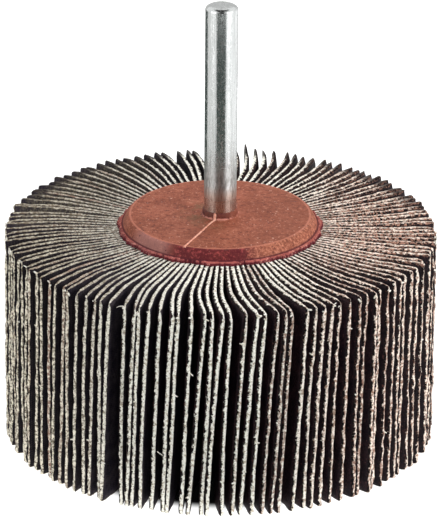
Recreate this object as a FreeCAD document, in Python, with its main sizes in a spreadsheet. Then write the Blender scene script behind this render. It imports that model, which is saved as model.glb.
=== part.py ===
import FreeCAD, Part
import math
import os
import Sketcher

# A flap wheel on a shank: 126 strips of abrasive cloth stand on edge round a cast resin core,
# each one held by a tang that the core's two flanges grip, and a steel shank is cast into the core.
# The wheel stands on the ends of its flaps. The origin is the middle of that end, +Z runs up the shank.

doc = FreeCAD.newDocument("flap_wheel")

# Driving dimensions, in millimetres and degrees.
SIZES = [
    ("head_radius", 40.0, "flap tips, measured from the axis"),
    ("head_height", 40.0, "height of the flaps"),
    ("flap_count", 126, "flaps round the wheel"),
    ("flaps_per_pack", 3, "flaps kept together as one pack"),
    ("flap_thickness", 0.78, "cloth and grain together"),
    ("flap_play", 0.03, "room between two flaps where they crowd at the core"),
    ("curl_length", 5.8, "stretch of a flap that has taken a bend"),
    ("tip_length", 6.5, "outer stretch of a flap, past that bend"),
    ("tip_corner", 0.6, "worn outer corners of a flap"),
    ("root_lean", 2.4, "how far the flaps lean back, clockwise, where they leave the core"),
    ("lean_drift", 2.0, "slow change of that lean round the wheel"),
    ("lean_spread", 0.6, "change of that lean from one flap to the next"),
    ("tip_turn", 8.5, "how far the outer stretch of a flap curls, counter-clockwise"),
    ("turn_drift", 4.2, "slow change of that curl round the wheel"),
    ("turn_spread", 1.9, "change of that curl from one flap to the next"),
    ("drift_bearing", 204.0, "where on the wheel the flaps curl most"),
    ("tang_length", 1.9, "root of a flap that the flanges grip"),
    ("tang_step", 2.6, "notch above and below the tang"),
    ("seat_gap", 0.03, "between flap and resin"),
    ("shoulder_gap", 0.08, "between the round flange and the straight shoulder of a flap"),
    ("disc_rise", 2.9, "top disc above the flaps"),
    ("disc_draft", 1.1, "slope of the disc's wall, as a width"),
    ("disc_edge", 0.3, "broken edge of the top disc"),
    ("lip_width", 0.75, "resin that ran out over the flaps"),
    ("lip_height", 1.0, "thickness of that resin"),
    ("collar_width", 0.5, "resin that climbs round the shank"),
    ("collar_height", 1.1, "height of that collar"),
    ("collar_edge", 0.3, "broken edge of that collar"),
    ("shank_radius", 3.0, "fits a 6 mm collet"),
    ("shank_straight", 39.3, "bare straight shank above the collar"),
    ("shank_end", 0.7, "chamfer at the free end"),
    ("relief_depth", 0.25, "relief where the ground length ends, inside the collar"),
    ("relief_length", 0.7, "length of that relief"),
    ("shank_foot", 4.0, "height of the shank's buried end"),
    ("grip_flats", 2, "flats on the buried shank, for the resin to grip"),
    ("grip_depth", 0.4, "depth of a grip flat"),
    ("grip_start", 6.0, "grip flats above the buried end"),
    ("grip_length", 12.0, "length of the grip flats"),
]

sizes = doc.addObject("Spreadsheet::Sheet", "sizes")
for line, (alias, value, meaning) in enumerate(SIZES, start=1):
    sizes.set("A%d" % line, alias)
    sizes.set("B%d" % line, str(value))
    sizes.set("C%d" % line, meaning)
    sizes.setAlias("B%d" % line, alias)
doc.recompute()

# Dimensions that follow from the driving ones. The flaps crowd shoulder to shoulder where they
# leave the core, so their number and thickness set the core's radius. A flap's root end is flat
# and may lean, so the core's column stays clear of its corners by a tenth of the thickness.
ROOT_RADIUS = "(sizes.flap_count * (sizes.flap_thickness + sizes.flap_play) / (2 * pi))"
CORE_RADIUS = "(%s - sizes.seat_gap - 0.1 * sizes.flap_thickness)" % ROOT_RADIUS
STRAIGHT_LENGTH = "(sizes.head_radius - %s - sizes.curl_length - sizes.tip_length)" % ROOT_RADIUS
FLANGE_RADIUS = "(%s + sizes.tang_length)" % ROOT_RADIUS
LIP_RADIUS = "(%s + sizes.lip_width)" % FLANGE_RADIUS
DISC_RADIUS = "(%s - sizes.disc_draft)" % FLANGE_RADIUS
DISC_TOP = "(sizes.head_height + sizes.disc_rise)"
LIP_TOP = "(sizes.head_height + sizes.lip_height)"
COLLAR_RADIUS = "(sizes.shank_radius + sizes.collar_width)"
COLLAR_TOP = "(%s + sizes.collar_height)" % DISC_TOP
SHANK_TOP = "(%s + sizes.shank_straight + sizes.shank_end)" % COLLAR_TOP

OVERCUT = 1.0  # how far a cutting outline reaches past the piece that it cuts


def number(expression):
    """The present value of an expression."""
    return float(sizes.evalExpression(expression))


def origin_plane(body, role):
    """One of the body's own origin planes or axes."""
    return next(item for item in body.Origin.OriginFeatures if item.Role == role)


def add_sketch(body, name, role):
    sketch = body.newObject("Sketcher::SketchObject", name)
    sketch.AttachmentSupport = (origin_plane(body, role), [""])
    sketch.MapMode = "FlatFace"
    return sketch


def hold(sketch, kind, edge, end, place):
    """Keep one end of an edge at an X or Y place that an expression gives."""
    if place == "0":
        axis = -2 if kind == "DistanceX" else -1
        sketch.addConstraint(Sketcher.Constraint("PointOnObject", edge, end, axis))
        return
    held = sketch.addConstraint(Sketcher.Constraint(kind, -1, 1, edge, end, number(place)))
    sketch.setExpression("Constraints[%d]" % held, place)


def draw_outline(sketch, corners):
    """Closed outline of straight edges. Each corner's place is two expressions.

    An edge whose two corners share an expression is kept upright or level instead.
    """
    points = [FreeCAD.Vector(number(x), number(y), 0) for x, y in corners]
    first = sketch.GeometryCount
    count = len(points)
    for k in range(count):
        sketch.addGeometry(Part.LineSegment(points[k], points[(k + 1) % count]))
    for k in range(count):
        following = first + (k + 1) % count
        sketch.addConstraint(Sketcher.Constraint("Coincident", first + k, 2, following, 1))
    before = (None, None)
    for k, (x, y) in enumerate(corners, start=first):
        if x == before[0]:
            sketch.addConstraint(Sketcher.Constraint("Vertical", k - 1))
        else:
            hold(sketch, "DistanceX", k, 1, x)
        if y == before[1]:
            sketch.addConstraint(Sketcher.Constraint("Horizontal", k - 1))
        else:
            hold(sketch, "DistanceY", k, 1, y)
        before = (x, y)


def revolve(body, kind, name, sketch):
    """Turn a sketch all the way round the body's vertical axis."""
    feature = body.newObject(kind, name)
    feature.Profile = sketch
    feature.ReferenceAxis = (sketch, ["V_Axis"])
    feature.Angle = 360
    return feature


def chamfer_rim(body, name, base, radius, height, size):
    """Chamfer the circular edge that lies at this radius and height."""
    names = []
    for index, edge in enumerate(base.Shape.Edges, start=1):
        if not isinstance(edge.Curve, Part.Circle) or not edge.isClosed():
            continue
        off = abs(edge.Curve.Radius - number(radius)) + abs(edge.CenterOfMass.z - number(height))
        if off < 1e-4:
            names.append("Edge%d" % index)
    chamfer = body.newObject("PartDesign::Chamfer", name)
    chamfer.Base = (base, names)
    chamfer.setExpression("Size", size)
    doc.recompute()
    return chamfer


def make_shank():
    """Ground steel rod with a chamfered free end, and grip flats where the resin holds it.

    The ground length ends in a narrow relief, level with the top of the resin collar.
    """
    body = doc.addObject("PartDesign::Body", "shank")
    section = add_sketch(body, "shank_section", "XZ_Plane")
    relief_radius = "(sizes.shank_radius - sizes.relief_depth)"
    relief_foot = "(%s - sizes.relief_length)" % COLLAR_TOP
    draw_outline(section, [
        ("0", "sizes.shank_foot"),
        ("sizes.shank_radius", "sizes.shank_foot"),
        ("sizes.shank_radius", relief_foot),
        (relief_radius, relief_foot),
        (relief_radius, COLLAR_TOP),
        ("sizes.shank_radius", COLLAR_TOP),
        ("sizes.shank_radius", SHANK_TOP),
        ("0", SHANK_TOP),
    ])
    rod = revolve(body, "PartDesign::Revolution", "shank_rod", section)
    doc.recompute()
    rod = chamfer_rim(body, "shank_end", rod, "sizes.shank_radius", SHANK_TOP, "sizes.shank_end")

    segment = add_sketch(body, "grip_section", "XY_Plane")
    segment.setExpression("AttachmentOffset.Base.z", "sizes.shank_foot + sizes.grip_start")
    outside = "(sizes.shank_radius + %s)" % OVERCUT
    draw_outline(segment, [
        ("sizes.shank_radius - sizes.grip_depth", "-%s" % outside),
        (outside, "-%s" % outside),
        (outside, outside),
        ("sizes.shank_radius - sizes.grip_depth", outside),
    ])
    flat = body.newObject("PartDesign::Pocket", "grip_flat")
    flat.Profile = segment
    flat.Reversed = True
    flat.setExpression("Length", "sizes.grip_length")
    body.Tip = flat
    doc.recompute()
    if flat.Shape.Volume >= rod.Shape.Volume:
        raise ValueError("the grip flat cuts nothing")

    grip = body.newObject("PartDesign::PolarPattern", "grip")
    grip.Originals = [flat]
    grip.Axis = (origin_plane(body, "Z_Axis"), [""])
    grip.Angle = 360
    grip.setExpression("Occurrences", "sizes.grip_flats")
    body.Tip = grip
    return body


def make_resin_core(shank):
    """Spool of cast resin: two flanges that grip the flaps' tangs, a raised disc and a collar.

    The resin is cast round the shank, so the hollow for the shank is cut with the shank itself.
    """
    body = doc.addObject("PartDesign::Body", "resin_blank")
    section = add_sketch(body, "resin_section", "XZ_Plane")
    flange_face = "(sizes.tang_step - sizes.seat_gap)"
    seat_height = "(sizes.head_height + sizes.seat_gap)"
    draw_outline(section, [
        ("0", "0"),
        (FLANGE_RADIUS, "0"),
        (FLANGE_RADIUS, flange_face),
        (CORE_RADIUS, flange_face),
        (CORE_RADIUS, "sizes.head_height - %s" % flange_face),
        (FLANGE_RADIUS, "sizes.head_height - %s" % flange_face),
        (FLANGE_RADIUS, seat_height),
        (LIP_RADIUS, seat_height),
        (LIP_RADIUS, LIP_TOP),
        (FLANGE_RADIUS, LIP_TOP),
        (DISC_RADIUS, DISC_TOP),
        (COLLAR_RADIUS, DISC_TOP),
        (COLLAR_RADIUS, COLLAR_TOP),
        ("0", COLLAR_TOP),
    ])
    spool = revolve(body, "PartDesign::Revolution", "resin_spool", section)
    doc.recompute()
    spool = chamfer_rim(body, "disc_edge", spool, DISC_RADIUS, DISC_TOP, "sizes.disc_edge")
    chamfer_rim(body, "collar_edge", spool, COLLAR_RADIUS, COLLAR_TOP, "sizes.collar_edge")

    core = doc.addObject("Part::Cut", "resin_core")
    core.Base = body
    core.Tool = shank
    return core


def flap_set(index):
    """How one flap stands: its bearing, its backward lean at the core and its curl at the tip.

    Lean and curl drift slowly round the wheel, and each flap differs a little from the next.
    """
    bearing = "(%d * 360 / sizes.flap_count)" % index
    drift = "(%s - sizes.drift_bearing)" % bearing
    lean_jitter = math.sin(2.399 * index) * math.cos(0.61 * index)
    turn_jitter = math.sin(1.713 * index + 0.8)
    lean = ("(sizes.root_lean - sizes.lean_drift * (cos(%s) + cos(2 * %s)) + sizes.lean_spread * %.3f)"
            % (drift, drift, lean_jitter))
    turn = ("(sizes.tip_turn + sizes.turn_drift * cos(%s) + sizes.turn_spread * %.3f)"
            % (drift, turn_jitter))
    return bearing, lean, turn


def make_flap(index):
    """One strip of abrasive cloth on edge: flat at the root, then a curl, then a short flat tip.

    The body's X axis is the radius on which the flap's root stands.
    """
    bearing, lean, turn = flap_set(index)
    curl_radius = "(sizes.curl_length / (%s * pi / 180))" % turn
    half = "sizes.flap_thickness / 2"
    inner_radius = "(%s - %s)" % (curl_radius, half)
    outer_radius = "(%s + %s)" % (curl_radius, half)

    body = doc.addObject("PartDesign::Body", "flap_%03d" % index)
    body.setExpression("Placement.Rotation.Angle", bearing)

    plan = add_sketch(body, "flap_plan_%03d" % index, "XY_Plane")
    plan.setExpression("AttachmentOffset.Base.x", ROOT_RADIUS)
    plan.setExpression("AttachmentOffset.Rotation.Angle", "-1 * %s" % lean)

    def past_curl(radius, reach):
        x = "(%s + %s * sin(%s) + %s * cos(%s))" % (STRAIGHT_LENGTH, radius, turn, reach, turn)
        y = "(%s - %s * cos(%s) + %s * sin(%s))" % (curl_radius, radius, turn, reach, turn)
        return x, y

    corners = [
        ("0", "-%s" % half),
        (STRAIGHT_LENGTH, "-%s" % half),
        past_curl(outer_radius, "0"),
        past_curl(outer_radius, "sizes.tip_length"),
        past_curl(inner_radius, "sizes.tip_length"),
        past_curl(inner_radius, "0"),
        (STRAIGHT_LENGTH, half),
        ("0", half),
    ]
    points = [FreeCAD.Vector(number(x), number(y), 0) for x, y in corners]
    centre = FreeCAD.Vector(number(STRAIGHT_LENGTH), number(curl_radius), 0)
    start = -math.pi / 2
    end = start + math.radians(number(turn))
    upright = FreeCAD.Vector(0, 0, 1)
    count = len(points)
    arcs = {1: outer_radius, 5: inner_radius}
    for k in range(count):
        if k in arcs:
            plan.addGeometry(Part.ArcOfCircle(Part.Circle(centre, upright, number(arcs[k])), start, end))
        else:
            plan.addGeometry(Part.LineSegment(points[k], points[(k + 1) % count]))
    ends = {k: (1, 2) for k in range(count)}
    ends[5] = (2, 1)  # this arc is drawn from the tip's side back to the root's
    for k in range(count):
        following = (k + 1) % count
        plan.addConstraint(Sketcher.Constraint("Coincident", k, ends[k][1], following, ends[following][0]))
    for k, (x, y) in enumerate(corners):
        hold(plan, "DistanceX", k, ends[k][0], x)
        hold(plan, "DistanceY", k, ends[k][0], y)
    for k, radius in arcs.items():
        held = plan.addConstraint(Sketcher.Constraint("Radius", k, number(radius)))
        plan.setExpression("Constraints[%d]" % held, radius)

    sheet = body.newObject("PartDesign::Pad", "flap_sheet_%03d" % index)
    sheet.Profile = plan
    sheet.setExpression("Length", "sizes.head_height")

    tip = past_curl(curl_radius, "sizes.tip_length")[0]
    punch_flap(body, index, lean, tip)
    return body


def punch_flap(body, index, lean, tip):
    """Notch the root above and below for the core's flanges, and take off the worn outer corners."""
    punch = add_sketch(body, "flap_punch_%03d" % index, "XZ_Plane")
    punch.AttachmentOffset = FreeCAD.Placement(FreeCAD.Vector(), FreeCAD.Rotation(FreeCAD.Vector(0, 1, 0), 1))
    punch.setExpression("AttachmentOffset.Base.x", ROOT_RADIUS)
    punch.setExpression("AttachmentOffset.Rotation.Angle", "-1 * %s" % lean)
    inside = "-%s" % OVERCUT
    below = "-%s" % OVERCUT
    above = "(sizes.head_height + %s)" % OVERCUT
    shoulder = "(sizes.tang_length + sizes.shoulder_gap)"
    past_tip = "(%s + %s)" % (tip, OVERCUT)
    corner_start = "(%s - sizes.tip_corner - %s)" % (tip, OVERCUT)
    corner_rise = "(sizes.tip_corner + %s)" % OVERCUT
    tang_foot = "sizes.tang_step"
    tang_head = "(sizes.head_height - sizes.tang_step)"
    draw_outline(punch, [(inside, below), (shoulder, below), (shoulder, tang_foot), (inside, tang_foot)])
    draw_outline(punch, [(inside, tang_head), (shoulder, tang_head), (shoulder, above), (inside, above)])
    draw_outline(punch, [(corner_start, below), (past_tip, below), (past_tip, corner_rise)])
    draw_outline(punch, [(corner_start, above), (past_tip, "(sizes.head_height - %s)" % corner_rise),
                         (past_tip, above)])
    outline = body.newObject("PartDesign::Pocket", "flap_outline_%03d" % index)
    outline.Profile = punch
    outline.Midplane = True
    outline.setExpression("Length", "sizes.head_radius")


def make_flaps():
    """All the flaps, and the packs that keep them together."""
    flaps = [make_flap(index) for index in range(int(number("sizes.flap_count")))]
    packs = []
    per_pack = int(number("sizes.flaps_per_pack"))
    for first in range(0, len(flaps), per_pack):
        pack = doc.addObject("Part::Compound", "flap_pack_%02d" % (len(packs) + 1))
        pack.Links = flaps[first:first + per_pack]
        packs.append(pack)
    return packs


def check(sub_parts):
    """Stop on any object that failed, and on any sub-part that is not whole."""
    for item in doc.Objects:
        if "Invalid" in item.State or "Error" in item.State:
            raise ValueError("%s did not build: %s" % (item.Name, item.State))
    for item in sub_parts:
        if item.Shape.isNull() or not item.Shape.isValid() or not item.Shape.Solids:
            raise ValueError("%s is not a sound solid" % item.Label)


shank = make_shank()
doc.recompute()
resin_core = make_resin_core(shank)
flap_packs = make_flaps()
doc.recompute()

sub_parts = [shank, resin_core] + flap_packs
check(sub_parts)
os.makedirs("parts", exist_ok=True)
for item in sub_parts:
    item.Shape.exportStep("parts/%s.step" % item.Label)
    print("%-14s solids %d  volume %.1f mm3" % (item.Label, len(item.Shape.Solids), item.Shape.Volume))
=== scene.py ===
# %% [markdown]
# # A mounted flap wheel
# A flap wheel is a grinding tool: strips of abrasive cloth stand on edge round a cast resin core, on a
# steel shank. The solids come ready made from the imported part. This lesson dresses them: it makes the
# worn cloth, the brick red resin and the ground steel, and lights them as a small product on white paper.

import bmesh
import bpy
import math
import random
from mathutils import Matrix, Vector, noise


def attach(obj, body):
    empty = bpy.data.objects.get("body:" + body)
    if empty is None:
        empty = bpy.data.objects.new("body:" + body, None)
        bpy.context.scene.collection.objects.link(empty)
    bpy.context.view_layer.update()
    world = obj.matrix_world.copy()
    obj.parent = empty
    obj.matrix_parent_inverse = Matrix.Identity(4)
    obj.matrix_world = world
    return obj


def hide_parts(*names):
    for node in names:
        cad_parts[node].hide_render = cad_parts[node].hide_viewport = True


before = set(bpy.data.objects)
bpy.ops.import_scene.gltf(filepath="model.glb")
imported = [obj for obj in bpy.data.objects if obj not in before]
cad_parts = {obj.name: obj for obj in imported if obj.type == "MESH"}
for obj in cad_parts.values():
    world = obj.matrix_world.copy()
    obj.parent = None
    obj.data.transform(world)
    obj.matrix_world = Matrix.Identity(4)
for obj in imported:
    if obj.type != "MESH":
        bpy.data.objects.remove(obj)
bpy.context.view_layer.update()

# %% [markdown]
# ## The wheel's own sizes
# Blender works in metres, and a designer thinks of such a wheel in millimetres, so the script keeps
# millimetres and scales each mesh once, at the end. The sizes repeat the ones that the solids were made
# from, because each dressed flap has to stand where its plain solid stands.

# %% Sizes
MM = 0.001
HEAD_RADIUS = 40.0
HEAD_HEIGHT = 40.0
FLAP_COUNT = 126
FLAPS_PER_PACK = 3
FLAP_THICKNESS = 0.78
GRAIN_THICKNESS = 0.3
GRAIN_RECESS = 0.24
ROOT_RADIUS = FLAP_COUNT * 0.81 / (2 * math.pi)
CURL_LENGTH = 5.8
TIP_LENGTH = 6.5
STRAIGHT_LENGTH = HEAD_RADIUS - ROOT_RADIUS - CURL_LENGTH - TIP_LENGTH
FLAP_LENGTH = STRAIGHT_LENGTH + CURL_LENGTH + TIP_LENGTH
TANG_LENGTH = 1.98
TANG_STEP = 2.6
FLANGE_RADIUS = ROOT_RADIUS + 1.9
SHANK_RADIUS = 3.0
SHANK_TOP = 84.0
COLLAR_TOP = 44.0
DISC_TOP = 42.9
DISC_EDGE = 17.24
print("root radius %.2f mm, flap length %.2f mm" % (ROOT_RADIUS, FLAP_LENGTH))

# %% [markdown]
# ## The camera
# The picture was taken from far away with a long lens, a little above the wheel, so circles look like
# flat ellipses and upright lines stay parallel. The camera's distance, height and lens were worked out
# from the wheel's own ellipses, and it leans by half a degree, as a camera held by hand does.

# %% Camera
CAMERA_DISTANCE = 964.0
CAMERA_ELEVATION = 23.0
LENS = 359.9
LOOK_AT = Vector((0.05, 0.0, 33.7))
ROLL = 0.47


def make_camera():
    """The camera, on a long lens, at the photograph's viewing angle."""
    tilt = math.radians(CAMERA_ELEVATION)
    data = bpy.data.cameras.new("camera")
    data.lens = LENS
    data.sensor_width = 36.0
    data.clip_start = 0.05
    data.clip_end = 20.0
    camera = bpy.data.objects.new("camera", data)
    back = Vector((0.0, -math.cos(tilt), math.sin(tilt)))
    turn = (-back).to_track_quat("-Z", "Y").to_matrix() @ Matrix.Rotation(math.radians(ROLL), 3, "Z")
    camera.matrix_world = Matrix.Translation((LOOK_AT + back * CAMERA_DISTANCE) * MM) @ turn.to_4x4()
    bpy.context.scene.collection.objects.link(camera)
    bpy.context.scene.camera = camera
    return camera


camera = make_camera()
print("camera at", tuple(round(v, 3) for v in camera.location))

# %% [markdown]
# ## Shader maths as plain expressions
# A finish is a web of nodes. Wiring them by hand is slow to read, so one small class stands for a node's
# output and turns `a * b + 1` into Math nodes. A second class is the material that is being made. Its
# `add` makes any other node.

# %% Node helpers


class Value:
    """One output of a node. Arithmetic on it adds Math nodes to the same finish."""

    def __init__(self, finish, socket):
        self.finish = finish
        self.socket = socket

    def math(self, operation, *others):
        inputs = dict(enumerate((self,) + others))
        return self.finish.add("ShaderNodeMath", {"operation": operation}, inputs)

    def __add__(self, other):
        return self.math("ADD", other)

    def __radd__(self, other):
        return self.math("ADD", other)

    def __sub__(self, other):
        return self.math("SUBTRACT", other)

    def __rsub__(self, other):
        return self.finish.add("ShaderNodeMath", {"operation": "SUBTRACT"}, {0: other, 1: self})

    def __mul__(self, other):
        return self.math("MULTIPLY", other)

    def __rmul__(self, other):
        return self.math("MULTIPLY", other)

    def rise(self, low, high):
        """0 below low, 1 above high, and a smooth climb between them."""
        settings = {"interpolation_type": "SMOOTHSTEP"}
        return self.finish.add("ShaderNodeMapRange", settings, {0: self, 1: low, 2: high, 3: 0.0, 4: 1.0})

    def band(self, start, full, fade, end):
        """1 from full to fade, and 0 before start and after end."""
        return self.rise(start, full) * self.rise(end, fade)


class Finish:
    """A material that is being put together from nodes."""

    def __init__(self, name):
        self.material = bpy.data.materials.new(name)
        self.material.use_nodes = True
        self.tree = self.material.node_tree
        self.tree.nodes.clear()

    def add(self, kind, settings=None, inputs=None, output=0):
        node = self.tree.nodes.new(kind)
        for key, value in (settings or {}).items():
            setattr(node, key, value)
        for key, value in (inputs or {}).items():
            if isinstance(value, Value):
                self.tree.links.new(value.socket, node.inputs[key])
            else:
                node.inputs[key].default_value = value
        return Value(self, node.outputs[output])

    def place(self):
        """Where a point lies on the wheel, in millimetres."""
        spot = self.add("ShaderNodeTexCoord", output="Object")
        return self.stretch(spot, (1 / MM, 1 / MM, 1 / MM))

    def stretch(self, vector, factors):
        return self.add("ShaderNodeVectorMath", {"operation": "MULTIPLY"}, {0: vector, 1: factors})

    def parts(self, vector):
        """The x, y and z of a vector, each as a Value."""
        node = self.add("ShaderNodeSeparateXYZ", None, {0: vector}).socket.node
        return [Value(self, socket) for socket in node.outputs]

    def length(self, vector):
        return self.add("ShaderNodeVectorMath", {"operation": "LENGTH"}, {0: vector}, output="Value")

    def noise(self, vector, per_mm, detail=3.0, roughness=0.55):
        inputs = {"Vector": vector, "Scale": per_mm, "Detail": detail, "Roughness": roughness}
        return self.add("ShaderNodeTexNoise", None, inputs)

    def blend(self, share, first, second):
        """The first colour where share is 0, the second where it is 1."""
        return self.add("ShaderNodeMix", {"data_type": "RGBA"}, {0: share, 6: first, 7: second}, output=2)

    def bump(self, height, strength, distance):
        """A normal that leans with a height. The distance is in millimetres."""
        inputs = {"Height": height, "Strength": strength, "Distance": distance * MM}
        return self.add("ShaderNodeBump", None, inputs)

    def surface(self, inputs):
        """Close the finish with the shader that all of these materials use."""
        shader = self.add("ShaderNodeBsdfPrincipled", None, inputs)
        output = self.tree.nodes.new("ShaderNodeOutputMaterial")
        self.tree.links.new(shader.socket, output.inputs["Surface"])
        print("finish", self.material.name, "nodes", len(self.tree.nodes))
        return self.material


def rgb(red, green, blue):
    """A colour as a screen shows it, 0 to 255, turned into the linear light that a shader takes."""
    linear = [((c / 255 + 0.055) / 1.055) ** 2.4 if c > 10 else c / 255 / 12.92 for c in (red, green, blue)]
    return (*linear, 1.0)


# %% [markdown]
# ## Abrasive cloth, three finishes
# The cloth is a cotton twill soaked in resin, with grit glued to one side. A flap shows three different
# faces. Its cut edge is bare cotton, cream, with the dark grit beside it. Its back is the soaked twill,
# olive grey. Its front is brown grit. Each flap carries its flat, uncut place on the cloth as an
# attribute in millimetres: x runs out from the root, y through the thickness and z up. So the weave bends
# with the flap.

# %% Where on the flap


class ClothFinish(Finish):
    """A finish that knows where it lies on the wheel, and on its own flap."""

    def __init__(self, name):
        super().__init__(name)
        self.spot = self.place()
        self.side, self.depth, _ = self.parts(self.spot)
        flat = self.add("ShaderNodeAttribute", {"attribute_name": "flat"}, output="Vector")
        self.run, self.through, self.rise_up = self.parts(flat)
        self.tone = self.add("ShaderNodeAttribute", {"attribute_name": "flap_tone"}, output="Fac")

    def from_rim(self):
        """How far a point lies from the nearest free edge: the tip, the top or the foot."""
        from_tip = FLAP_LENGTH - self.run
        from_ends = self.rise_up.math("MINIMUM", HEAD_HEIGHT - self.rise_up)
        return from_tip.math("MINIMUM", from_ends)

    def cotton(self):
        """Bare cotton fibre: cream, with painted shade on the left and at the back corners, and redder on the
        right.
        """
        threads = self.noise(self.spot, 1.9, 3.0, 0.7)
        clean = self.blend(threads.rise(0.35, 0.52), rgb(188, 176, 154), rgb(255, 253, 242))
        shaded_left_fibre = self.blend(threads.rise(0.40, 0.56), rgb(102, 92, 77), rgb(243, 235, 215))
        reddish = self.blend(threads.rise(0.40, 0.58), rgb(148, 110, 92), rgb(254, 239, 225))
        # Painted shade: the fibre is darker and more yellow on the left of the wheel. On the right it is
        # redder.
        fibre = self.blend(self.side.rise(-10.0, -34.0), clean, shaded_left_fibre)
        fibre = self.blend(self.side.rise(6.0, 26.0), fibre, reddish)
        # The upper ends on the left are darker, in blotches.
        blotches = self.noise(self.spot, 1.7, 3.0, 0.7).rise(0.45, 0.6)
        darker_top_left = self.rise_up.rise(HEAD_HEIGHT - 0.8, HEAD_HEIGHT - 0.1) * self.side.rise(-3.0, -24.0)
        fibre = self.blend(darker_top_left * (0.35 + 0.65 * blotches) * 0.9, fibre, rgb(128, 113, 96))
        rusty = self.tone.rise(0.78, 0.95) * threads.rise(0.62, 0.42)
        fibre = self.blend(rusty * 0.8, fibre, rgb(156, 122, 108))
        soiled = (self.noise(self.spot, 0.5, 4.0, 0.65) + 0.1 * self.tone).rise(0.64, 0.76)
        fibre = self.blend(soiled * 0.5, fibre, rgb(132, 104, 90))
        # Painted shade: the cotton at the upper corners of the tips at the back is dark.
        shaded_corner = self.run.rise(FLAP_LENGTH - 4.6, FLAP_LENGTH - 2.0) * self.rise_up.rise(36.0, 38.0)
        return self.blend(shaded_corner * self.depth.rise(6.0, 18.0) * 0.9, fibre, rgb(40, 33, 34))


# %% Cut edge


def make_cut_edge():
    finish = ClothFinish("cut_edge")
    side, depth = finish.side, finish.depth
    # Cotton meets grit at a ragged border, which is shifted by a different amount on each side of the wheel.
    ragged = finish.noise(finish.spot, 1.25, 4.0, 0.75)
    border = 1.5 * ragged + 0.14 * finish.tone - 0.85 - 0.09 * side.rise(-14.0, -34.0)
    border = border - 0.09 * depth.rise(-10.0, -26.0) * side.rise(30.0, 10.0) - 0.1 * side.rise(14.0, 34.0)
    bare = (finish.through - border).rise(-0.03, 0.03)
    # The cotton's outer side is frayed as well, by another noise.
    frayed = finish.noise(finish.stretch(finish.spot, (-1.0, 1.0, 1.0)), 1.5, 3.0, 0.7)
    bare = bare * (finish.through + 0.9 * frayed).rise(0.92, 0.84)
    # Seen end on, the grit is black, with pale beads on the upper ends, reddish on the right and grey on the
    # left.
    specks = finish.noise(finish.spot, 2.2, 3.0, 0.7)
    grit_end = finish.blend(specks.rise(0.56, 0.66), rgb(16, 10, 12), rgb(84, 52, 45))
    on_top = finish.rise_up.rise(HEAD_HEIGHT - 0.8, HEAD_HEIGHT - 0.3)
    red_beads = on_top * side.rise(10.0, 27.0) * specks.rise(0.49, 0.57) * depth.rise(-23.0, -9.0)
    grit_end = finish.blend(red_beads * (1.0 - 0.75 * depth.rise(7.0, 19.0)), grit_end, rgb(194, 148, 128))
    grey_beads = on_top * side.rise(-12.0, -28.0) * specks.rise(0.52, 0.6)
    grit_end = finish.blend(grey_beads, grit_end, rgb(138, 126, 107))
    colour = finish.blend(bare, grit_end, finish.cotton())
    normal = finish.bump(finish.noise(finish.spot, 4.0, 3.0) + ragged, 0.7, 0.12)
    return finish.surface({"Base Color": colour, "Roughness": 0.92, "Normal": normal,
                           "Specular IOR Level": 0.2})


cut_edge = make_cut_edge()

# %% Cloth back


def make_cloth_back():
    finish = ClothFinish("cloth_back")
    warp = (finish.rise_up * 14.0 + finish.run * 5.0).math("SINE")
    weft = (finish.run * 12.5).math("SINE")
    weave = (warp + weft) * 0.25 + 0.5
    patches = finish.noise(finish.spot, 0.35, 4.0, 0.6)
    specks = finish.noise(finish.spot, 2.6, 3.0, 0.7)
    soaked_and_shade = finish.blend(patches.rise(0.35, 0.65), rgb(36, 31, 44), rgb(62, 55, 62))
    # Painted shade: the backs are darker at the front left.
    shaded = finish.side.rise(-18.0, -34.0) * finish.depth.rise(4.0, -6.0)
    soaked_and_shade = finish.blend(shaded * 0.7, soaked_and_shade, rgb(12, 10, 14))
    soaked_and_shade = finish.blend(weave.rise(0.45, 0.95) * 0.2, soaked_and_shade, rgb(100, 92, 82))
    colour = finish.blend(specks.rise(0.66, 0.76) * 0.8, soaked_and_shade, rgb(128, 118, 102))
    dirt = finish.noise(finish.spot, 1.7, 4.0, 0.7).rise(0.52, 0.64)
    colour = finish.blend(dirt * 0.8, colour, rgb(26, 24, 28))
    # Painted light: the upper tips of the backs at the back left are lighter, where light from above and
    # behind falls.
    lit_back_left = finish.side.rise(-6.0, -20.0) * finish.depth.rise(-2.0, 8.0) * finish.rise_up.rise(34.0, 38.5)
    lit_back_left = lit_back_left * (FLAP_LENGTH - finish.run).rise(0.5, 2.2)
    colour = finish.blend(lit_back_left * (0.1 + 0.6 * specks.rise(0.5, 0.62)), colour, rgb(142, 134, 112))
    rim_width = 0.34 + 0.08 * finish.side.rise(-12.0, -30.0)
    frayed = finish.from_rim() - rim_width * finish.noise(finish.spot, 2.2, 3.0, 0.7)
    colour = finish.blend(frayed.rise(-0.06, -0.12), colour, finish.cotton())
    normal = finish.bump(weave + specks, 0.55, 0.12)
    return finish.surface({"Base Color": colour, "Roughness": 0.85, "Normal": normal,
                           "Specular IOR Level": 0.1})


cloth_back = make_cloth_back()

# %% Grit
GRAINS_PER_MM = 3.6


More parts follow.
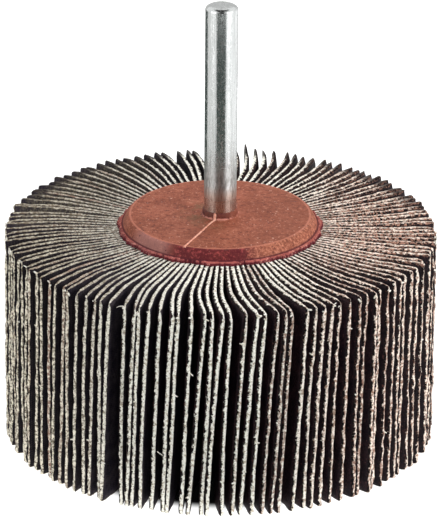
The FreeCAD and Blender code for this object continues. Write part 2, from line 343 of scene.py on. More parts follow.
def make_grit():
    finish = ClothFinish("grit")
    cells = {"Vector": finish.spot, "Scale": GRAINS_PER_MM}
    grains = finish.add("ShaderNodeTexVoronoi", None, cells, output="Distance")
    shade = finish.parts(finish.add("ShaderNodeTexVoronoi", None, cells, output="Color"))[0]
    patches = finish.noise(finish.spot, 0.3, 4.0, 0.6)
    specks = finish.noise(finish.spot, 2.2, 3.0, 0.7)
    colour = finish.blend(patches.rise(0.35, 0.68), rgb(30, 20, 27), rgb(54, 36, 40))
    # Painted shade: the grit is darker towards the right edge of the wheel.
    colour = finish.blend(finish.side.rise(20.0, 36.0) * 0.6, colour, rgb(12, 7, 9))
    # Pale specks along the top rim on the right side.
    at_top = (HEAD_HEIGHT - finish.rise_up).rise(0.5, 0.28)
    pale_rim = at_top * finish.side.rise(10.0, 27.0) * finish.depth.rise(-21.0, -9.0)
    colour = finish.blend(pale_rim * specks.rise(0.5, 0.58), colour, rgb(180, 132, 113))
    colour = finish.blend(specks.rise(0.6, 0.68) * 0.6, colour, rgb(104, 66, 62))
    colour = finish.blend(shade.rise(0.28, 0.0) * 0.8, colour, rgb(14, 10, 18))
    normal = finish.bump(1.0 - grains, 0.8, 0.16)
    return finish.surface({"Base Color": colour, "Roughness": 0.62, "Normal": normal,
                           "Specular IOR Level": 0.15})


grit = make_grit()

# %% Loose fibre


def make_loose_fibre():
    finish = Finish("loose_fibre")
    threads = finish.noise(finish.place(), 2.0, 2.0)
    colour = finish.blend(threads.rise(0.3, 0.6), rgb(222, 212, 192), rgb(255, 252, 244))
    return finish.surface({"Base Color": colour, "Roughness": 0.9, "Specular IOR Level": 0.2})


loose_fibre = make_loose_fibre()
cloth_finishes = [cut_edge, cloth_back, grit, loose_fibre]
CUT_EDGE, CLOTH_BACK, GRIT, LOOSE_FIBRE = range(len(cloth_finishes))

# %% [markdown]
# ## One flat flap
# All the flaps are cut by one knife, so one flat blank is made and each flap is a bent copy of it. The
# blank starts as a single face and gets its lines where the flap will bend. Two notches leave the tang
# that the core grips, and the outer corners are rounded. Then the sheet is extruded twice, once for the
# cotton and once for the grit, which gives the cut edge its two layers.

# %% Flap blank
BENDS = [TANG_LENGTH, 5.6, 8.6, STRAIGHT_LENGTH, 12.9, 14.4, 15.8, STRAIGHT_LENGTH + CURL_LENGTH,
         18.6, 19.9, 21.1, 22.3]
NOTCH_LINE = 1.3
FLANK_HEIGHT = HEAD_HEIGHT - 2 * TANG_STEP
FLANK_PARTS = 22
RISES = [NOTCH_LINE, TANG_STEP]
RISES += [TANG_STEP + FLANK_HEIGHT * k / FLANK_PARTS for k in range(1, FLANK_PARTS)]
RISES += [HEAD_HEIGHT - TANG_STEP, HEAD_HEIGHT - NOTCH_LINE]


def cut_blank():
    """The flat sheet: x out from the root, z up, one face thick, in millimetres."""
    blank = bmesh.new()
    bmesh.ops.create_grid(blank, x_segments=1, y_segments=1, size=0.5)
    lie = Matrix.Translation((FLAP_LENGTH / 2, 0, HEAD_HEIGHT / 2)) @ Matrix.Rotation(math.pi / 2, 4, "X")
    bmesh.ops.scale(blank, verts=blank.verts, vec=(FLAP_LENGTH, HEAD_HEIGHT, 1))
    bmesh.ops.transform(blank, verts=blank.verts, matrix=lie)
    for along, direction in [(BENDS, Vector((1, 0, 0))), (RISES, Vector((0, 0, 1)))]:
        for reach in along:
            geom = blank.verts[:] + blank.edges[:] + blank.faces[:]
            bmesh.ops.bisect_plane(blank, geom=geom, plane_co=direction * reach, plane_no=direction)
    notched = [face for face in blank.faces if face.calc_center_median().x < TANG_LENGTH
               and not TANG_STEP < face.calc_center_median().z < HEAD_HEIGHT - TANG_STEP]
    bmesh.ops.delete(blank, geom=notched, context="FACES")
    corners = [v for v in blank.verts if v.co.x > FLAP_LENGTH - 0.01
               and abs(v.co.z - HEAD_HEIGHT / 2) > HEAD_HEIGHT / 2 - 0.01]
    bmesh.ops.bevel(blank, geom=corners, offset=0.4, offset_type="OFFSET", affect="VERTICES", segments=2,
                    profile=0.5, material=-1)
    return blank


def of_kind(geom, kind):
    """The members of some geometry that are of one kind, such as its faces."""
    return [member for member in geom if isinstance(member, kind)]


def recess_grit(blank):
    """Draw the grit's rim back, because the cotton stands a little proud of it."""
    for vert in blank.verts:
        at_rim = any(abs(face.normal.y) < 0.5 for face in vert.link_faces)
        if vert.co.y > 0.01 - FLAP_THICKNESS / 2 or vert.co.x < TANG_LENGTH + 0.1 or not at_rim:
            continue
        vert.co.x -= GRAIN_RECESS if vert.co.x > FLAP_LENGTH - 0.5 else 0.0
        if abs(vert.co.z - HEAD_HEIGHT / 2) > HEAD_HEIGHT / 2 - 0.5:
            vert.co.z += GRAIN_RECESS if vert.co.z < 1.0 else -GRAIN_RECESS


def thicken_blank(blank):
    """Extrude the sheet through the cotton, then through the grit, and name each face's finish."""
    bmesh.ops.translate(blank, verts=blank.verts, vec=(0, FLAP_THICKNESS / 2, 0))
    front = blank.faces[:]
    for depth in (FLAP_THICKNESS - GRAIN_THICKNESS, GRAIN_THICKNESS):
        grown = bmesh.ops.extrude_face_region(blank, geom=front)["geom"]
        bmesh.ops.translate(blank, verts=of_kind(grown, bmesh.types.BMVert), vec=(0, -depth, 0))
        front = of_kind(grown, bmesh.types.BMFace)
    bmesh.ops.recalc_face_normals(blank, faces=blank.faces)
    recess_grit(blank)
    for face in blank.faces:
        broad = CLOTH_BACK if face.calc_center_median().y > 0 else GRIT
        face.material_index = broad if abs(face.normal.y) > 0.9 else CUT_EDGE
    return blank


blank = thicken_blank(cut_blank())
print("blank faces", len(blank.faces), "volume %.1f mm3" % blank.calc_volume())

# %% [markdown]
# ## How each flap stands
# The flaps crowd at the core and fan out at the tip. Each one leaves the core at its own slant, runs
# straight, and curls a little the other way, where grinding has bent it. Slant and curl drift round the
# wheel. These sums are the solids' own, so the dressed flap and the plain one share a root, a line and a
# tip.

# %% Setting


def flap_setting(index):
    """Bearing, backward slant and forward curl of one flap, in degrees."""
    bearing = index * 360 / FLAP_COUNT
    drift = math.radians(bearing - 204.0)
    slant = 2.4 - 2.0 * (math.cos(drift) + math.cos(2 * drift))
    slant += 0.6 * round(math.sin(2.399 * index) * math.cos(0.61 * index), 3)
    curl = 8.5 + 4.2 * math.cos(drift) + 1.9 * round(math.sin(1.713 * index + 0.8), 3)
    return bearing, slant, curl


def line_of_flap(run, slant, curl):
    """A point on the flap's line, and the way that the line heads there, in the frame of its bearing."""
    slant, curl = math.radians(slant), math.radians(curl)
    arc = min(max(run - STRAIGHT_LENGTH, 0.0), CURL_LENGTH)
    past = max(run - STRAIGHT_LENGTH - CURL_LENGTH, 0.0)
    turned = curl * arc / CURL_LENGTH
    radius = CURL_LENGTH / curl
    along = min(run, STRAIGHT_LENGTH) + radius * math.sin(turned) + past * math.cos(turned)
    aside = radius * (1 - math.cos(turned)) + past * math.sin(turned)
    start = Vector((ROOT_RADIUS, 0.0))
    point = start + Vector((along, aside)) @ Matrix.Rotation(slant, 2)
    return point, turned - slant


print("flap 0 tip", line_of_flap(FLAP_LENGTH, *flap_setting(0)[1:]))

# %% [markdown]
# ## Use and wear
# The solids' flaps are tidy. Real ones have been pushed about: they lean together in clumps and leave
# gaps, the upper ends lag behind the lower ones, the edges wave, and the tips hook. Each of these is one
# small sideways push that grows from nothing at the core to a millimetre or so at the tip.

# %% Wear
PARTINGS = [(208.0, 0.2), (239.5, 0.95), (249.0, 0.35), (258.0, 0.35), (272.8, 0.25), (289.2, 0.25),
            (304.0, 0.3), (322.0, 0.35), (341.0, 0.4), (4.0, 0.4), (27.0, 0.4), (52.0, 0.4), (80.0, 0.8),
            (97.0, 0.6), (118.0, 0.5), (141.0, 0.5), (163.0, 0.5), (186.0, 0.15)]


def turn_between(bearing, other):
    """The signed angle from one bearing to another, in degrees."""
    return (bearing - other + 180.0) % 360.0 - 180.0


def parting_push(bearing):
    """How far the flaps at this bearing lean away from the gaps near them."""
    push = 0.0
    for gap, strength in PARTINGS:
        away = turn_between(bearing, gap)
        push += math.copysign(strength, away) * math.exp(-abs(away) / 3.6)
    return push


def stray_of_tip(index):
    """How far a flap's tip strays sideways from an even fan, in millimetres."""
    turns = []
    for other in range(index - 2, index + 3):
        tip = line_of_flap(FLAP_LENGTH, *flap_setting(other % FLAP_COUNT)[1:])[0]
        turns.append(math.atan2(tip.y, tip.x))
    return (turns[2] - sum(turns) / len(turns)) * HEAD_RADIUS


def nearness(bearing, middle, width):
    """1 at the middle bearing, and falling off smoothly over about that width, in degrees."""
    return math.exp(-(turn_between(bearing, middle) / width) ** 2)


def wear_of_flap(index):
    """One flap's own habits, the same on each run."""
    chance = random.Random(index * 7919 + 11)
    bearing = flap_setting(index)[0]
    lag = 0.15 + nearness(bearing, 276.0, 38.0)
    at_back = 0.3 * nearness(bearing, 60.0, 40.0) + 0.8 * nearness(bearing, 83.0, 8.0)
    even = nearness(bearing, 206.0, 24.0) + 0.6 * nearness(bearing, 326.0, 16.0)
    return {
        "push": parting_push(bearing) + (1.0 - 0.7 * even) * chance.uniform(-0.34, 0.34)
        - even * stray_of_tip(index),
        "lag": lag + chance.uniform(-0.25, 0.25),
        "hook": chance.uniform(0.0, 0.5) + at_back * chance.uniform(0.2, 1.9),
        "foot_hook": chance.uniform(-0.4, 0.5),
        "wave": chance.uniform(0.03, 0.13),
        "short": chance.gauss(0.0, 0.16) - chance.choice((0.0, 0.0, 0.25)),
        "seed": Vector((chance.uniform(0, 90), chance.uniform(0, 90), 0)),
        "tone": chance.random(),
        "peak": chance.uniform(-0.4, 0.05) + at_back * chance.uniform(0.4, 1.2),
    }


print("push at the widest gap", round(parting_push(238.0), 2), round(parting_push(241.0), 2))

# %% Bending one flap
TIP_SHARE = 0.07
END_SHARE = 0.14
HOOK_START = 17.0
HOOK_LENGTH = 6.7
CORNER = 1.7


def last_part(share, length):
    """How far a share has come into the last part of its way to 1: 0 before it, and 1 at the end."""
    return max(0.0, (share - 1 + length) / length)


def bend_point(flat, setting, wear):
    """Where a point of the flat cloth lies on the wheel, once its flap is bent and worn."""
    bearing, slant, curl = setting
    run, through, rise = flat
    out = run / FLAP_LENGTH
    level = rise / HEAD_HEIGHT * 2 - 1
    seed = wear["seed"]
    # The cut ends are ragged: the tip by its reach, the top and the foot by their height.
    ragged = noise.noise(Vector((rise * 0.9, through * 1.5, 7.3)) + seed)
    frayed = noise.noise(Vector((run * 0.9, through * 1.5, 3.1)) + seed)
    reach = run + last_part(out, TIP_SHARE) * (0.35 * ragged - wear["short"])
    high, low = last_part(level, END_SHARE), last_part(-level, END_SHARE)
    height = rise + (high - low) * (0.22 * frayed - 0.05) * min(1.0, max(0.0, (run - 3.5) / 3))
    # The sheet waves, leans and hooks sideways.
    wave = 1.3 * noise.noise(Vector((run * 0.11, rise * 0.10, 0)) + seed)
    wave += 0.7 * noise.noise(Vector((run * 0.3, rise * 0.45, 5.0)) + seed)
    wave += 1.2 * noise.noise(Vector((run * 0.5, rise * 0.6, 11.0)) + seed)
    push = out ** 1.7 * (wear["push"] + wear["lag"] * level + wear["wave"] * wave)
    tip = max(0.0, (run - HOOK_START) / HOOK_LENGTH) ** 2
    push += tip * wear["hook"] * max(0.0, level) ** 2 + tip * wear["foot_hook"] * max(0.0, -level) ** 2
    # The upper corner is thin and pulled up or down, and near the core the cloth swells up in front.
    corner = max(0.0, run - FLAP_LENGTH + CORNER) / CORNER * max(0.0, rise - HEAD_HEIGHT + CORNER) / CORNER
    through *= 1 - 0.7 * corner
    height += wear["peak"] * corner
    at_front = max(0.0, -math.sin(math.radians(bearing)))
    height += 0.3 * at_front * high * max(0.0, 1 - abs(run - 2.5) / 6.0)
    point, heading = line_of_flap(reach, slant, curl)
    side = Vector((-math.sin(heading), math.cos(heading)))
    point = (point + side * (through + push)) @ Matrix.Rotation(-math.radians(bearing), 2)
    return Vector((point.x, point.y, max(height, 0.02)))


def add_flap(pack, index):
    """Add one bent copy of the blank, which remembers its flat place and its own tone."""
    setting, wear = flap_setting(index), wear_of_flap(index)
    flap = blank.copy()
    flat = flap.verts.layers.float_vector.new("flat")
    tone = flap.verts.layers.float.new("flap_tone")
    for vert in flap.verts:
        vert[flat] = vert.co
        vert[tone] = wear["tone"]
        vert.co = bend_point(vert.co, setting, wear)
    join(pack, flap)


def join(whole, part):
    """Add one bmesh to another, with its layers and its finishes."""
    sheet = bpy.data.meshes.new("sheet")
    part.to_mesh(sheet)
    part.free()
    whole.from_mesh(sheet)
    bpy.data.meshes.remove(sheet)


def add_fibre(pack, root, heading, radius, step, sag):
    """One loose thread: a small four-sided rod that bends and thins as it goes."""
    fibre = bmesh.new()
    bmesh.ops.create_circle(fibre, cap_ends=True, segments=4, radius=radius)
    bmesh.ops.transform(fibre, verts=fibre.verts, matrix=heading.to_track_quat("Z", "Y").to_matrix().to_4x4())
    bmesh.ops.translate(fibre, verts=fibre.verts, vec=root)
    end = fibre.faces[:]
    for _ in range(3):
        grown = bmesh.ops.extrude_face_region(fibre, geom=end)["geom"]
        ring = of_kind(grown, bmesh.types.BMVert)
        bmesh.ops.translate(fibre, verts=ring, vec=heading * step)
        middle = sum((v.co for v in ring), Vector()) / len(ring)
        bmesh.ops.scale(fibre, verts=ring, vec=(0.82, 0.82, 0.82), space=Matrix.Translation(-middle))
        end = of_kind(grown, bmesh.types.BMFace)
        heading = (heading + sag).normalized()
    bmesh.ops.recalc_face_normals(fibre, faces=fibre.faces)
    for face in fibre.faces:
        face.material_index = LOOSE_FIBRE
    join(pack, fibre)


def add_fibres(pack, index):
    """The flap's loose threads: a few along the cut edge, and a tuft at the upper corner."""
    setting, wear = flap_setting(index), wear_of_flap(index)
    chance = random.Random(index * 31 + 5)
    rises = [chance.uniform(1.0, 39.0) for _ in range(chance.choice((0, 1, 1, 2, 2, 3)))]
    if setting[0] > 165.0 or setting[0] < 5.0:
        rises += [chance.uniform(38.9, 39.8) for _ in range(chance.choice((0, 1, 1, 2)))]
    for rise in rises:
        root = bend_point((FLAP_LENGTH - 0.15, chance.uniform(-0.05, 0.35), rise), setting, wear)
        outward = Vector((root.x, root.y, 0)).normalized()
        aside = Vector((-outward.y, outward.x, 0)) * chance.choice((-1, 1, -1))
        heading = (aside + outward * 0.4 + Vector((0, 0, chance.uniform(-0.7, 0.9)))).normalized()
        sag = Vector((0, 0, chance.uniform(-0.5, 0.4))) + outward * chance.uniform(-0.3, 0.3)
        long_thread = chance.random() < 0.06
        radius, step = (0.13, 0.55) if long_thread else (chance.uniform(0.17, 0.3), chance.uniform(0.1, 0.28))
        add_fibre(pack, root, heading, radius, step, sag)


def make_flap_pack(number):
    """Three neighbouring flaps as one piece, which stands for one pack of the solids."""
    pack = bmesh.new()
    pack.verts.layers.float_vector.new("flat")
    pack.verts.layers.float.new("flap_tone")
    for index in range(number * FLAPS_PER_PACK, (number + 1) * FLAPS_PER_PACK):
        add_flap(pack, index)
        add_fibres(pack, index)
    bmesh.ops.scale(pack, verts=pack.verts, vec=(MM, MM, MM))
    return pack


def finish_piece(name, shape, materials, replaced, smooth=()):
    """Turn a bmesh into a named piece that rides on the wheel and stands for its solid."""
    mesh = bpy.data.meshes.new(name)
    shape.to_mesh(mesh)
    shape.free()
    for material in materials:
        mesh.materials.append(material)
    for polygon in mesh.polygons:
        polygon.use_smooth = polygon.material_index in smooth
    piece = bpy.data.objects.new(name, mesh)
    bpy.context.scene.collection.objects.link(piece)
    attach(piece, "root")
    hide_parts(replaced)
    return piece


flap_packs = []
for number in range(FLAP_COUNT // FLAPS_PER_PACK):
    name = "worn_flaps_%02d" % (number + 1)
    solid = "flap_pack_%02d" % (number + 1)
    flap_packs.append(finish_piece(name, make_flap_pack(number), cloth_finishes, solid,
                                   smooth=(CLOTH_BACK, GRIT, LOOSE_FIBRE)))
print("flap packs", len(flap_packs), "faces", sum(len(pack.data.polygons) for pack in flap_packs))

# %% [markdown]
# ## The resin core
# The core is cast: red resin is poured round the roots of the flaps and the shank, and fills a round
# mould on top. So it has a raised disc with a sloping wall and soft edges, a thin lip where resin crept
# out under the mould and ran between the flaps, and a small collar where it climbed the shank.

# %% Where on the core


class ResinFinish(Finish):
    """Brick red resin that knows where it lies on the core."""

    def __init__(self, name):
        super().__init__(name)
        self.spot = self.place()
        self.side, self.depth, self.level = self.parts(self.spot)
        self.away = self.length(self.stretch(self.spot, (1, 1, 0)))
        self.bearing = self.depth.math("ARCTAN2", self.side)
        self.on_wall = self.away.rise(DISC_EDGE - 0.5, DISC_EDGE - 0.35) * self.level.rise(39.0, 39.5)
        self.clouds = self.noise(self.spot, 0.22, 4.0, 0.6)
        self.grain = self.noise(self.spot, 1.4, 4.0, 0.65)
        self.fine = self.noise(self.spot, 1.55, 3.0, 0.8)
        self.grooves = self.noise(self.stretch(self.spot, (0.25, 0.25, 4.0)), 1.0, 3.0, 0.6)
        self.uneven = 0.9 * (self.grain - 0.5)

    def body(self):
        """The resin itself: cloudy, with a fine dark and pale grain."""
        colour = self.blend(self.clouds.rise(0.35, 0.65), rgb(140, 74, 52), rgb(160, 89, 66))
        colour = self.blend(self.fine.rise(0.36, 0.46), rgb(104, 48, 37), colour)
        return self.blend(self.fine.rise(0.56, 0.68) * 0.8, colour, rgb(200, 132, 108))

    def disc(self, colour):
        """The flat top: smudged beside the shank, painted darker on the right as shade, with a painted
        highlight along its rim.
        """
        smears = self.noise(self.spot, 0.55, 4.0, 0.7).rise(0.42, 0.62)
        smudge = self.away.rise(9.5, 5.0) * smears * self.level.rise(DISC_TOP - 0.9, DISC_TOP - 0.4)
        colour = self.blend(smudge * self.side.rise(2.5, -2.0) * 0.6, colour, rgb(116, 86, 60))
        # Painted shade: the disc is darker on the right.
        shaded_right = self.side.rise(0.0, 15.0) * self.level.rise(DISC_TOP - 0.9, DISC_TOP - 0.2)
        colour = self.blend(shaded_right * 0.3, colour, rgb(118, 64, 44))
        # Painted highlight: a thin pale line along the disc's edge.
        pale_rim = self.away.band(DISC_EDGE - 0.85, DISC_EDGE - 0.65, DISC_EDGE - 0.5, DISC_EDGE - 0.35)
        pale_rim = pale_rim * self.level.rise(DISC_TOP - 0.6, DISC_TOP - 0.2)
        return self.blend(pale_rim * 0.4, colour, rgb(222, 144, 120))

    def wall(self, colour):
        """The sloping wall: a pale painted reflection on the left, painted dark shade with specks in front,
        and painted salmon light on the right.
        """
        # Painted reflection: a greyish pink sheen on the left.
        left_reflection = self.bearing.band(-2.75, -2.5, -2.2, -2.04) * self.on_wall
        colour = self.blend(left_reflection * 0.45, colour, rgb(176, 130, 128))
        # Painted shade: the wall is dark maroon in front, with grooves and specks.
        front_shade = self.bearing.band(-2.26, -1.98, -1.34, -1.04) * self.on_wall
        colour = self.blend(front_shade * (0.7 + 0.3 * self.grooves), colour, rgb(88, 14, 30))
        colour = self.blend(front_shade * self.fine.rise(0.52, 0.62) * 0.6, colour, rgb(180, 76, 74))
        # Painted light: salmon patches on the right.
        right_light = self.bearing.band(-1.34, -1.16, -0.2, 0.1) * self.on_wall
        return self.blend(right_light * (0.08 + 0.5 * self.fine.rise(0.48, 0.6)), colour, rgb(214, 140, 112))

    def lip(self, colour):
        """The lip at the wall's foot: painted shade in the groove, then a bead painted maroon as shade, with
        a painted pink highlight along its crest.
        """
        # Painted shade in the groove at the wall's foot.
        groove_shade = self.away.band(FLANGE_RADIUS - 0.22, FLANGE_RADIUS - 0.1,
                              FLANGE_RADIUS + 0.1, FLANGE_RADIUS + 0.22)
        colour = self.blend(groove_shade * 0.85, colour, rgb(84, 24, 34))
        bead = self.away.rise(FLANGE_RADIUS + 0.1, FLANGE_RADIUS + 0.25)
        # Painted shade and highlight: the bead is maroon below and pink along its crest, more so in front.
        crest_highlight = (self.level + 0.4 * self.uneven).rise(40.64, 40.8)
        in_front = self.depth.rise(-11.0, -17.0)
        colour = self.blend(bead * (1.0 - 0.5 * crest_highlight), colour, rgb(104, 34, 44))
        colour = self.blend(bead * crest_highlight * (0.3 + 0.35 * in_front), colour, rgb(204, 108, 100))
        colour = self.blend(bead * self.fine.rise(0.46, 0.38) * 0.7, colour, rgb(84, 24, 36))
        return self.blend(bead * self.fine.rise(0.58, 0.66) * 0.8, colour, rgb(224, 156, 144))

    def collar(self, colour):
        """The collar round the shank: painted shade, less on the right, with a broken pale painted highlight
        ring at its foot.
        """
        at_shank = self.away.rise(3.55, 3.4) * self.level.rise(DISC_TOP, DISC_TOP + 0.1)
        in_shade = at_shank * (1.0 - 0.7 * self.side.rise(0.6, 2.4))
        colour = self.blend(in_shade * (0.6 + 0.4 * self.fine.rise(0.5, 0.62)), colour, rgb(78, 28, 34))
        # Painted highlight: a broken pale ring at the collar's foot.
        ring = at_shank * (self.level + 0.9 * self.uneven).rise(43.36, 43.24)
        broken = self.noise(self.spot, 0.6, 2.0).rise(0.42, 0.56)
        return self.blend(ring * broken * 0.85, colour, rgb(220, 146, 128))


# %% Resin finish


def make_resin():
    finish = ResinFinish("red_resin")
    colour = finish.body()
    for stretch in (finish.disc, finish.wall, finish.lip, finish.collar):
        colour = stretch(colour)
    # Painted shade: small pits are painted dark, and the bump dents them.
    pits = finish.noise(finish.spot, 0.9, 2.0).rise(0.70, 0.73)
    colour = finish.blend(pits, colour, rgb(84, 34, 34))
    dust = finish.noise(finish.spot, 1.8, 2.0, 0.6).rise(0.68, 0.72)
    dust = dust * finish.level.rise(DISC_TOP - 0.5, DISC_TOP - 0.2)
    colour = finish.blend(dust * 0.8, colour, rgb(236, 190, 172))
    relief = finish.clouds + 0.4 * finish.grain + 0.3 * finish.fine - 0.6 * pits
    normal = finish.bump(relief + 0.3 * finish.grooves * finish.on_wall, 0.5, 0.3)
    return finish.surface({"Base Color": colour, "Roughness": 0.62, "Normal": normal,
                           "Specular IOR Level": 0.22})


def make_flash_highlight():
    finish = Finish("flash_highlight")
    grain = finish.noise(finish.place(), 1.2, 3.0)
    # Painted highlight: the raised flash line is paler than the resin round it.
    colour = finish.blend(grain.rise(0.35, 0.6), rgb(214, 134, 108), rgb(246, 184, 160))
    return finish.surface({"Base Color": colour, "Roughness": 0.6})


resin_finishes = [make_resin(), make_flash_highlight()]
RED_RESIN, FLASH_HIGHLIGHT = range(len(resin_finishes))

# %% Resin shape
LIP_START = 18.1
LIP_RADIUS = 18.85
RESIN_FOOT = [(0.0, 0.0), (12.0, 0.0), (17.9, 0.0), (18.14, 0.25), (18.14, 2.55), (17.0, 2.57)]
RESIN_WAIST = [(16.13, 2.6), (16.13, 12.0), (16.13, 28.0), (16.13, 37.4), (17.0, 37.43), (18.14, 37.45)]
RESIN_LIP = [(18.14, 40.03), (18.5, 40.03), (18.85, 40.05), (18.87, 40.35), (18.82, 40.7), (18.66, 40.95),
             (18.45, 41.03), (18.28, 40.98), (18.16, 40.84)]
RESIN_DISC = [(18.07, 40.98), (17.8, 41.6), (17.45, 42.25), (17.2, 42.6), (17.0, 42.78), (16.75, 42.88),
              (16.4, DISC_TOP), (14.0, 42.88), (10.5, 42.86), (7.5, 42.88), (5.0, DISC_TOP)]
RESIN_COLLAR = [(4.0, 42.92), (3.5, 42.96), (3.38, 43.1), (3.34, 43.35), (3.3, 43.7), (3.22, COLLAR_TOP),
                (3.1, COLLAR_TOP + 0.2), (2.9, COLLAR_TOP + 0.25)]
RESIN_PROFILE = RESIN_FOOT + RESIN_WAIST + RESIN_LIP + RESIN_DISC + RESIN_COLLAR
SPIN_STEPS = 504


def spin_profile(profile, steps):
    """Turn an outline of (radius, height) points once round the wheel's axis."""
    shape = bmesh.new()
    verts = [shape.verts.new((radius, 0.0, height)) for radius, height in profile]
    edges = [shape.edges.new(pair) for pair in zip(verts, verts[1:])]
    bmesh.ops.spin(shape, geom=verts + edges, cent=(0, 0, 0), axis=(0, 0, 1), angle=2 * math.pi, steps=steps,
                   use_merge=True, use_duplicate=False)
    bmesh.ops.remove_doubles(shape, verts=shape.verts, dist=0.0005)
    bmesh.ops.recalc_face_normals(shape, faces=shape.faces)
    return shape


def run_out_lip(core):
    """Let the resin creep out over the flaps: far in a gap, less on a flap, and never evenly."""
    for vert in core.verts:
        radius = math.hypot(vert.co.x, vert.co.y)
        if radius < LIP_START + 0.07 or not 40.0 < vert.co.z < 41.1:
            continue
        angle = math.atan2(vert.co.y, vert.co.x)
        round_wheel = Vector((math.cos(angle), math.sin(angle), 0))
        creep = 0.4 * noise.noise(round_wheel * 6.0) + 0.35 * noise.noise(round_wheel * 22.0)
        creep += 0.12 * math.cos(angle * FLAP_COUNT) + 0.35 * min(0.0, math.sin(angle))
        share = (radius - LIP_START) / (LIP_RADIUS - LIP_START)
        wanted = radius + share * creep
        vert.co.x *= wanted / radius
        vert.co.y *= wanted / radius
        vert.co.z += 0.3 * share * noise.noise(round_wheel * 17.0) if vert.co.z > 40.5 else 0.0
    return core


def add_flash_line(core):
    """The thin raised line where the mould's halves met, from the collar out to the disc's edge."""
    course = [(-0.95, -3.1, 44.15), (-0.98, -3.22, 43.7), (-1.0, -3.3, 43.2), (-1.1, -3.5, 42.96),
              (-1.7, -4.4, 42.9), (-2.9, -7.3, 42.88), (-4.2, -10.4, 42.86), (-5.3, -13.0, 42.88),
              (-6.2, -15.2, 42.9), (-6.5, -15.9, 42.88)]
    flash = bmesh.new()
    across = Vector((0.92, -0.39, 0)) * 0.17
    rings = []
    for place in course:
        middle = Vector(place)
        corners = (middle - across * 1.6 - Vector((0, 0, 0.1)), middle - across * 0.5 + Vector((0, 0, 0.14)),
                   middle + across * 0.5 + Vector((0, 0, 0.14)), middle + across * 1.6 - Vector((0, 0, 0.1)))
        rings.append([flash.verts.new(corner) for corner in corners])
    for ring, following in zip(rings, rings[1:]):
        for k in range(4):
            flash.faces.new((ring[k], ring[(k + 1) % 4], following[(k + 1) % 4], following[k]))
    flash.faces.new(rings[0])
    flash.faces.new(rings[-1])
    bmesh.ops.recalc_face_normals(flash, faces=flash.faces)
    for face in flash.faces:
        face.material_index = FLASH_HIGHLIGHT
    join(core, flash)
    return core


core = add_flash_line(run_out_lip(spin_profile(RESIN_PROFILE, SPIN_STEPS)))
bmesh.ops.scale(core, verts=core.verts, vec=(MM, MM, MM))
resin_piece = finish_piece("cast_core", core, resin_finishes, "resin_core", smooth=(RED_RESIN,))
print("core faces", len(resin_piece.data.polygons))

# %% [markdown]
# ## The shank
# A ground steel rod is bright but not a mirror. Fine grinding marks run round it, and long scratches
# along it come from the collet. The free end is rounded so that it slides into the collet.

# %% Steel finish


def make_steel():
    finish = Finish("ground_steel")
    place = finish.place()
    level = finish.parts(place)[2]
    rings = finish.noise(finish.stretch(place, (0.6, 0.6, 14.0)), 1.0, 3.0)
    drawn = finish.noise(finish.stretch(place, (5.0, 5.0, 0.12)), 1.0, 4.0, 0.65)
    streaks = finish.noise(finish.stretch(place, (3.4, 3.4, 0.7)), 1.0, 4.0, 0.7)
    colour = finish.blend(drawn.rise(0.35, 0.7), rgb(186, 189, 188), rgb(214, 216, 216))
    smeared = level.band(46.0, 49.0, 50.0, 57.0)
    colour = finish.blend(smeared * streaks.rise(0.42, 0.6) * 0.6, colour, rgb(112, 110, 104))
    # Painted reflection: near the foot the steel is tinted warm and streaked brown, as if it showed the red
    # resin below.
    reflection_at_foot = level.rise(49.5, 47.0)
    mottle = finish.noise(finish.stretch(place, (2.4, 2.4, 1.1)), 1.0, 4.0, 0.7) * (1.0 - reflection_at_foot)
    colour = finish.blend(reflection_at_foot * 0.8, colour, rgb(194, 172, 158))
    colour = finish.blend(reflection_at_foot * streaks.rise(0.5, 0.6) * 0.4, colour, rgb(104, 84, 74))
    rough = 0.12 + 0.06 * rings + 0.24 * mottle.rise(0.5, 0.62) + 0.2 * smeared + 0.1 * reflection_at_foot
    height = 0.5 * rings * (1.0 - reflection_at_foot) + drawn + 0.8 * mottle + 5.0 * smeared * streaks
    normal = finish.bump(height, 0.12, 0.1)
    return finish.surface({"Base Color": colour, "Metallic": 1.0, "Roughness": rough, "Normal": normal,
                           "Anisotropic": 0.9, "Anisotropic Rotation": 0.25})


ground_steel = make_steel()

# %% Shank shape
SHANK_LEVELS = (24.0, 43.0, 56.0, 70.0)
END_ROUNDING = [(0.0, 0.7), (0.04, 0.53), (0.16, 0.35), (0.38, 0.2), (0.65, 0.08), (0.95, 0.01), (1.15, 0.0),
                (2.0, 0.02), (2.7, 0.04), (3.0, 0.05)]
SHANK_PROFILE = [(0.0, 4.0), (2.8, 4.0), (SHANK_RADIUS, 4.2)]
SHANK_PROFILE += [(SHANK_RADIUS, level) for level in SHANK_LEVELS]
SHANK_PROFILE += [(SHANK_RADIUS - inward, SHANK_TOP - down) for inward, down in END_ROUNDING]

rod = spin_profile(SHANK_PROFILE, 96)
bmesh.ops.scale(rod, verts=rod.verts, vec=(MM, MM, MM))
shank_piece = finish_piece("steel_shank", rod, [ground_steel], "shank", smooth=(0,))
print("shank faces", len(shank_piece.data.polygons))

# %% [markdown]
# ## Paper, lights and sky
# The wheel stands on white paper, which glows a little so that it comes out white, and is painted dark under
# the wheel as a painted shadow. Large soft boxes above and at both sides fill the gaps between the flaps
# evenly, and the right one is stronger, so the sloping wall of the core is light on that side, where it is
# also painted lighter. Bright steel shows what stands round it. Dark cards on the paper give it a dark middle
# stripe and dark edges, and pale cards overhead and at the sides the light between them. The camera sees none
# of these cards. All of this is stage, and no part of the wheel.

# %% Stage helpers
CARD_LEVEL = 0.001


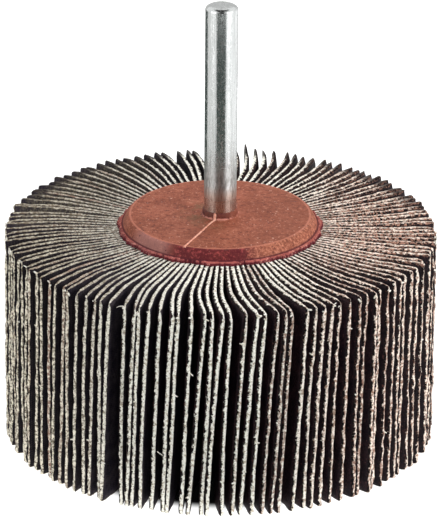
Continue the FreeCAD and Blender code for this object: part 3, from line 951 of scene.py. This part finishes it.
def make_plane(name, width, depth, matrix, material):
    shape = bmesh.new()
    bmesh.ops.create_grid(shape, x_segments=1, y_segments=1, size=0.5)
    bmesh.ops.scale(shape, verts=shape.verts, vec=(width, depth, 1))
    bmesh.ops.transform(shape, verts=shape.verts, matrix=matrix)
    mesh = bpy.data.meshes.new(name)
    shape.to_mesh(mesh)
    shape.free()
    mesh.materials.append(material)
    plane = bpy.data.objects.new(name, mesh)
    bpy.context.scene.collection.objects.link(plane)
    return plane


def make_hidden_card(name, width, depth, matrix, material):
    """A card that the steel reflects. The camera doesn't see it, and it throws no shadow."""
    card = make_plane(name, width, depth, matrix, material)
    card.visible_camera = False
    card.visible_shadow = False
    return card


def make_wedge(name, near, far, bearings, material):
    """A hidden card on the paper that fills the sight from the shank between two bearings, in degrees."""
    wedge = make_hidden_card(name, 1.0, 1.0, Matrix.Translation((0, 0, CARD_LEVEL)), material)
    for vert in wedge.data.vertices:
        reach = far if vert.co.x > 0 else near
        bearing = math.radians(bearings[vert.co.y > 0])
        vert.co = (reach * math.cos(bearing), reach * math.sin(bearing), CARD_LEVEL)
    return wedge


# %% Stage finishes


def make_paper():
    finish = Finish("paper")
    place = finish.place()
    # The glow is a little weaker far to the left. Under the wheel the paper is painted dark and does not
    # glow: a painted shadow.
    glow = finish.blend(finish.parts(place)[0].rise(-60.0, -110.0), rgb(255, 255, 255), rgb(222, 222, 220))
    shadow_under = finish.length(place).rise(HEAD_RADIUS - 2.5, HEAD_RADIUS - 6.0)
    glow = finish.blend(shadow_under, glow, rgb(4, 4, 4))
    sheet = finish.blend(shadow_under, rgb(149, 149, 149), rgb(8, 8, 8))
    return finish.surface({"Base Color": sheet, "Roughness": 1.0, "Specular IOR Level": 0.0,
                           "Emission Color": glow, "Emission Strength": 1.1})


def make_dark_card():
    return Finish("card").surface({"Base Color": (0.045, 0.065, 0.058, 1.0), "Roughness": 1.0})


def make_pale_card(name, strength):
    return Finish(name).surface({"Base Color": (0.3, 0.3, 0.3, 1.0), "Roughness": 1.0,
                                 "Specular IOR Level": 0.0, "Emission Color": (1.0, 1.0, 1.0, 1.0),
                                 "Emission Strength": strength})


# %% Stage
paper = make_plane("paper_floor", 12.0, 12.0, Matrix.Identity(4), make_paper())
dark_card = make_dark_card()
make_wedge("front_card", 0.052, 0.83, (237.0, 303.0), dark_card)
make_wedge("left_card", 0.09, 0.6, (97.0, 160.0), dark_card)
make_wedge("right_card", 0.09, 0.6, (60.0, 84.0), dark_card)
pale_card = make_pale_card("ceiling", 0.9)
for name, middle, width, depth in [("ceiling_left", (-0.56, 0.15), 0.72, 1.9),
                                   ("ceiling_right", (0.56, 0.15), 0.72, 1.9),
                                   ("ceiling_middle", (0.0, 0.65), 0.4, 0.6)]:
    overhead = Matrix.Translation((*middle, 0.62))
    make_hidden_card(name, width, depth, overhead, pale_card).visible_diffuse = False
for name, place in [("wall_left", -1.0), ("wall_right", 1.0)]:
    stood_up = Matrix.Translation((place, -0.2, 0.65)) @ Matrix.Rotation(math.pi / 2, 4, "Y")
    make_hidden_card(name, 1.3, 2.8, stood_up, pale_card).visible_diffuse = False
upright = Matrix.Translation((0.0, 1.2, 0.45)) @ Matrix.Rotation(math.pi / 2, 4, "X")
backdrop = make_hidden_card("paper_back", 3.0, 0.9, upright, make_pale_card("backdrop", 0.5))
print("stage", paper.name, backdrop.name)

# %% Lights


def soft_box(name, place, width, power):
    """A square lamp that looks at the wheel."""
    data = bpy.data.lights.new(name, "AREA")
    data.shape = "SQUARE"
    data.size = width
    data.energy = power
    lamp = bpy.data.objects.new(name, data)
    lamp.location = place
    aim = Vector((0, 0, 0.03)) - Vector(place)
    lamp.rotation_euler = aim.to_track_quat("-Z", "Y").to_euler()
    bpy.context.scene.collection.objects.link(lamp)
    return lamp


soft_box("box_above", (0.25, 0.3, 0.9), 0.7, 6.3).visible_glossy = False
soft_box("box_right", (0.8, -0.45, 0.35), 0.6, 4.5)
soft_box("box_left", (-0.8, -0.45, 0.35), 0.6, 2.7)
soft_box("box_front", (0.05, -1.0, 0.8), 0.3, 4.6).visible_glossy = False

sky = bpy.data.worlds.new("sky")
sky.use_nodes = True
sky.node_tree.nodes["Background"].inputs[0].default_value = (1.0, 1.0, 1.0, 1.0)
sky.node_tree.nodes["Background"].inputs[1].default_value = 0.07
bpy.context.scene.world = sky
bpy.context.scene.view_settings.view_transform = "Standard"
